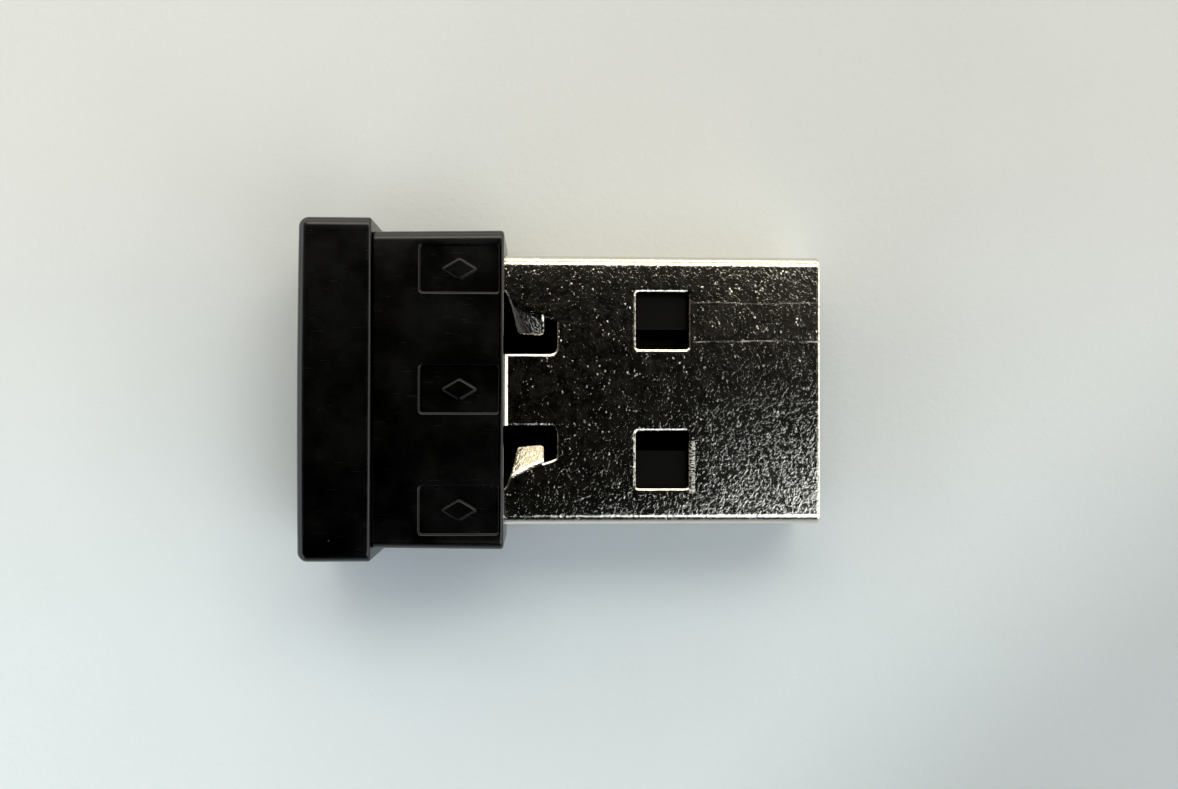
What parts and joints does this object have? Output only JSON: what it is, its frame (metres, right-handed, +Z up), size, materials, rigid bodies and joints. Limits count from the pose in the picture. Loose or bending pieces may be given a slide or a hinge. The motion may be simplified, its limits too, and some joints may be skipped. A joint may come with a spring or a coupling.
{
  "type": "usb wifi adapter",
  "caption": "Nano USB wireless adapter: a metal USB-A plug held in a short two-piece black housing with a wider end cap.",
  "frame": {"origin": "under the middle of the object's box, on the plane of the end cap's underside", "axes": "+X along the plug towards its tip, +Y across the plug, +Z up through the face with the bent-in flaps"},
  "size_m": [0.023, 0.0148, 0.007],
  "materials": {
    "housing_plastic": "injection-moulded black plastic, semi-gloss",
    "nickel_shell": "nickel-plated stamped steel sheet with a fine orange-peel surface",
    "insulator_plastic": "moulded black plastic, matt",
    "gold_contact": "gold-plated phosphor bronze strip",
    "board_laminate": "glass-fibre laminate under green solder mask",
    "light_pipe_clear": "clear moulded plastic, slightly milky",
    "chip_black": "moulded epoxy",
    "can_metal": "plated metal lid",
    "ceramic_tan": "fired ceramic with tinned ends",
    "ceramic_blue": "fired ceramic with tinned ends",
    "ceramic_white": "fired ceramic",
    "ferrite": "sintered ferrite"
  },
  "bodies": {
    "root": {"end_cap": "housing_plastic", "collar_housing": "housing_plastic", "usb_shell": "nickel_shell", "usb_insulator": "insulator_plastic", "usb_contact_vbus": "gold_contact", "usb_contact_dminus": "gold_contact", "usb_contact_dplus": "gold_contact", "usb_contact_gnd": "gold_contact", "circuit_board": "board_laminate", "light_pipe": "light_pipe_clear", "wifi_chip": "chip_black", "voltage_regulator": "chip_black", "esd_diode": "chip_black", "bias_resistor": "chip_black", "led_resistor": "chip_black", "usb_resistor_1": "chip_black", "usb_resistor_2": "chip_black", "crystal": "can_metal", "chip_antenna": "ceramic_white", "rf_filter": "ceramic_white", "rf_balun": "ceramic_white", "status_led": "ceramic_white", "power_inductor": "ferrite", "usb_ferrite": "ferrite", "rf_inductor_1": "ceramic_blue", "rf_inductor_2": "ceramic_blue", "bulk_capacitor_1": "ceramic_tan", "bulk_capacitor_2": "ceramic_tan", "bypass_capacitor_1": "ceramic_tan", "bypass_capacitor_2": "ceramic_tan", "bypass_capacitor_3": "ceramic_tan", "bypass_capacitor_4": "ceramic_tan", "bypass_capacitor_5": "ceramic_tan", "bypass_capacitor_6": "ceramic_tan", "bypass_capacitor_7": "ceramic_tan", "bypass_capacitor_8": "ceramic_tan", "bypass_capacitor_9": "ceramic_tan", "bypass_capacitor_10": "ceramic_tan", "bypass_capacitor_11": "ceramic_tan", "crystal_capacitor_1": "ceramic_tan", "crystal_capacitor_2": "ceramic_tan", "rf_capacitor_1": "ceramic_tan", "rf_capacitor_2": "ceramic_tan", "rf_capacitor_3": "ceramic_tan"}
  },
  "joints": []
}
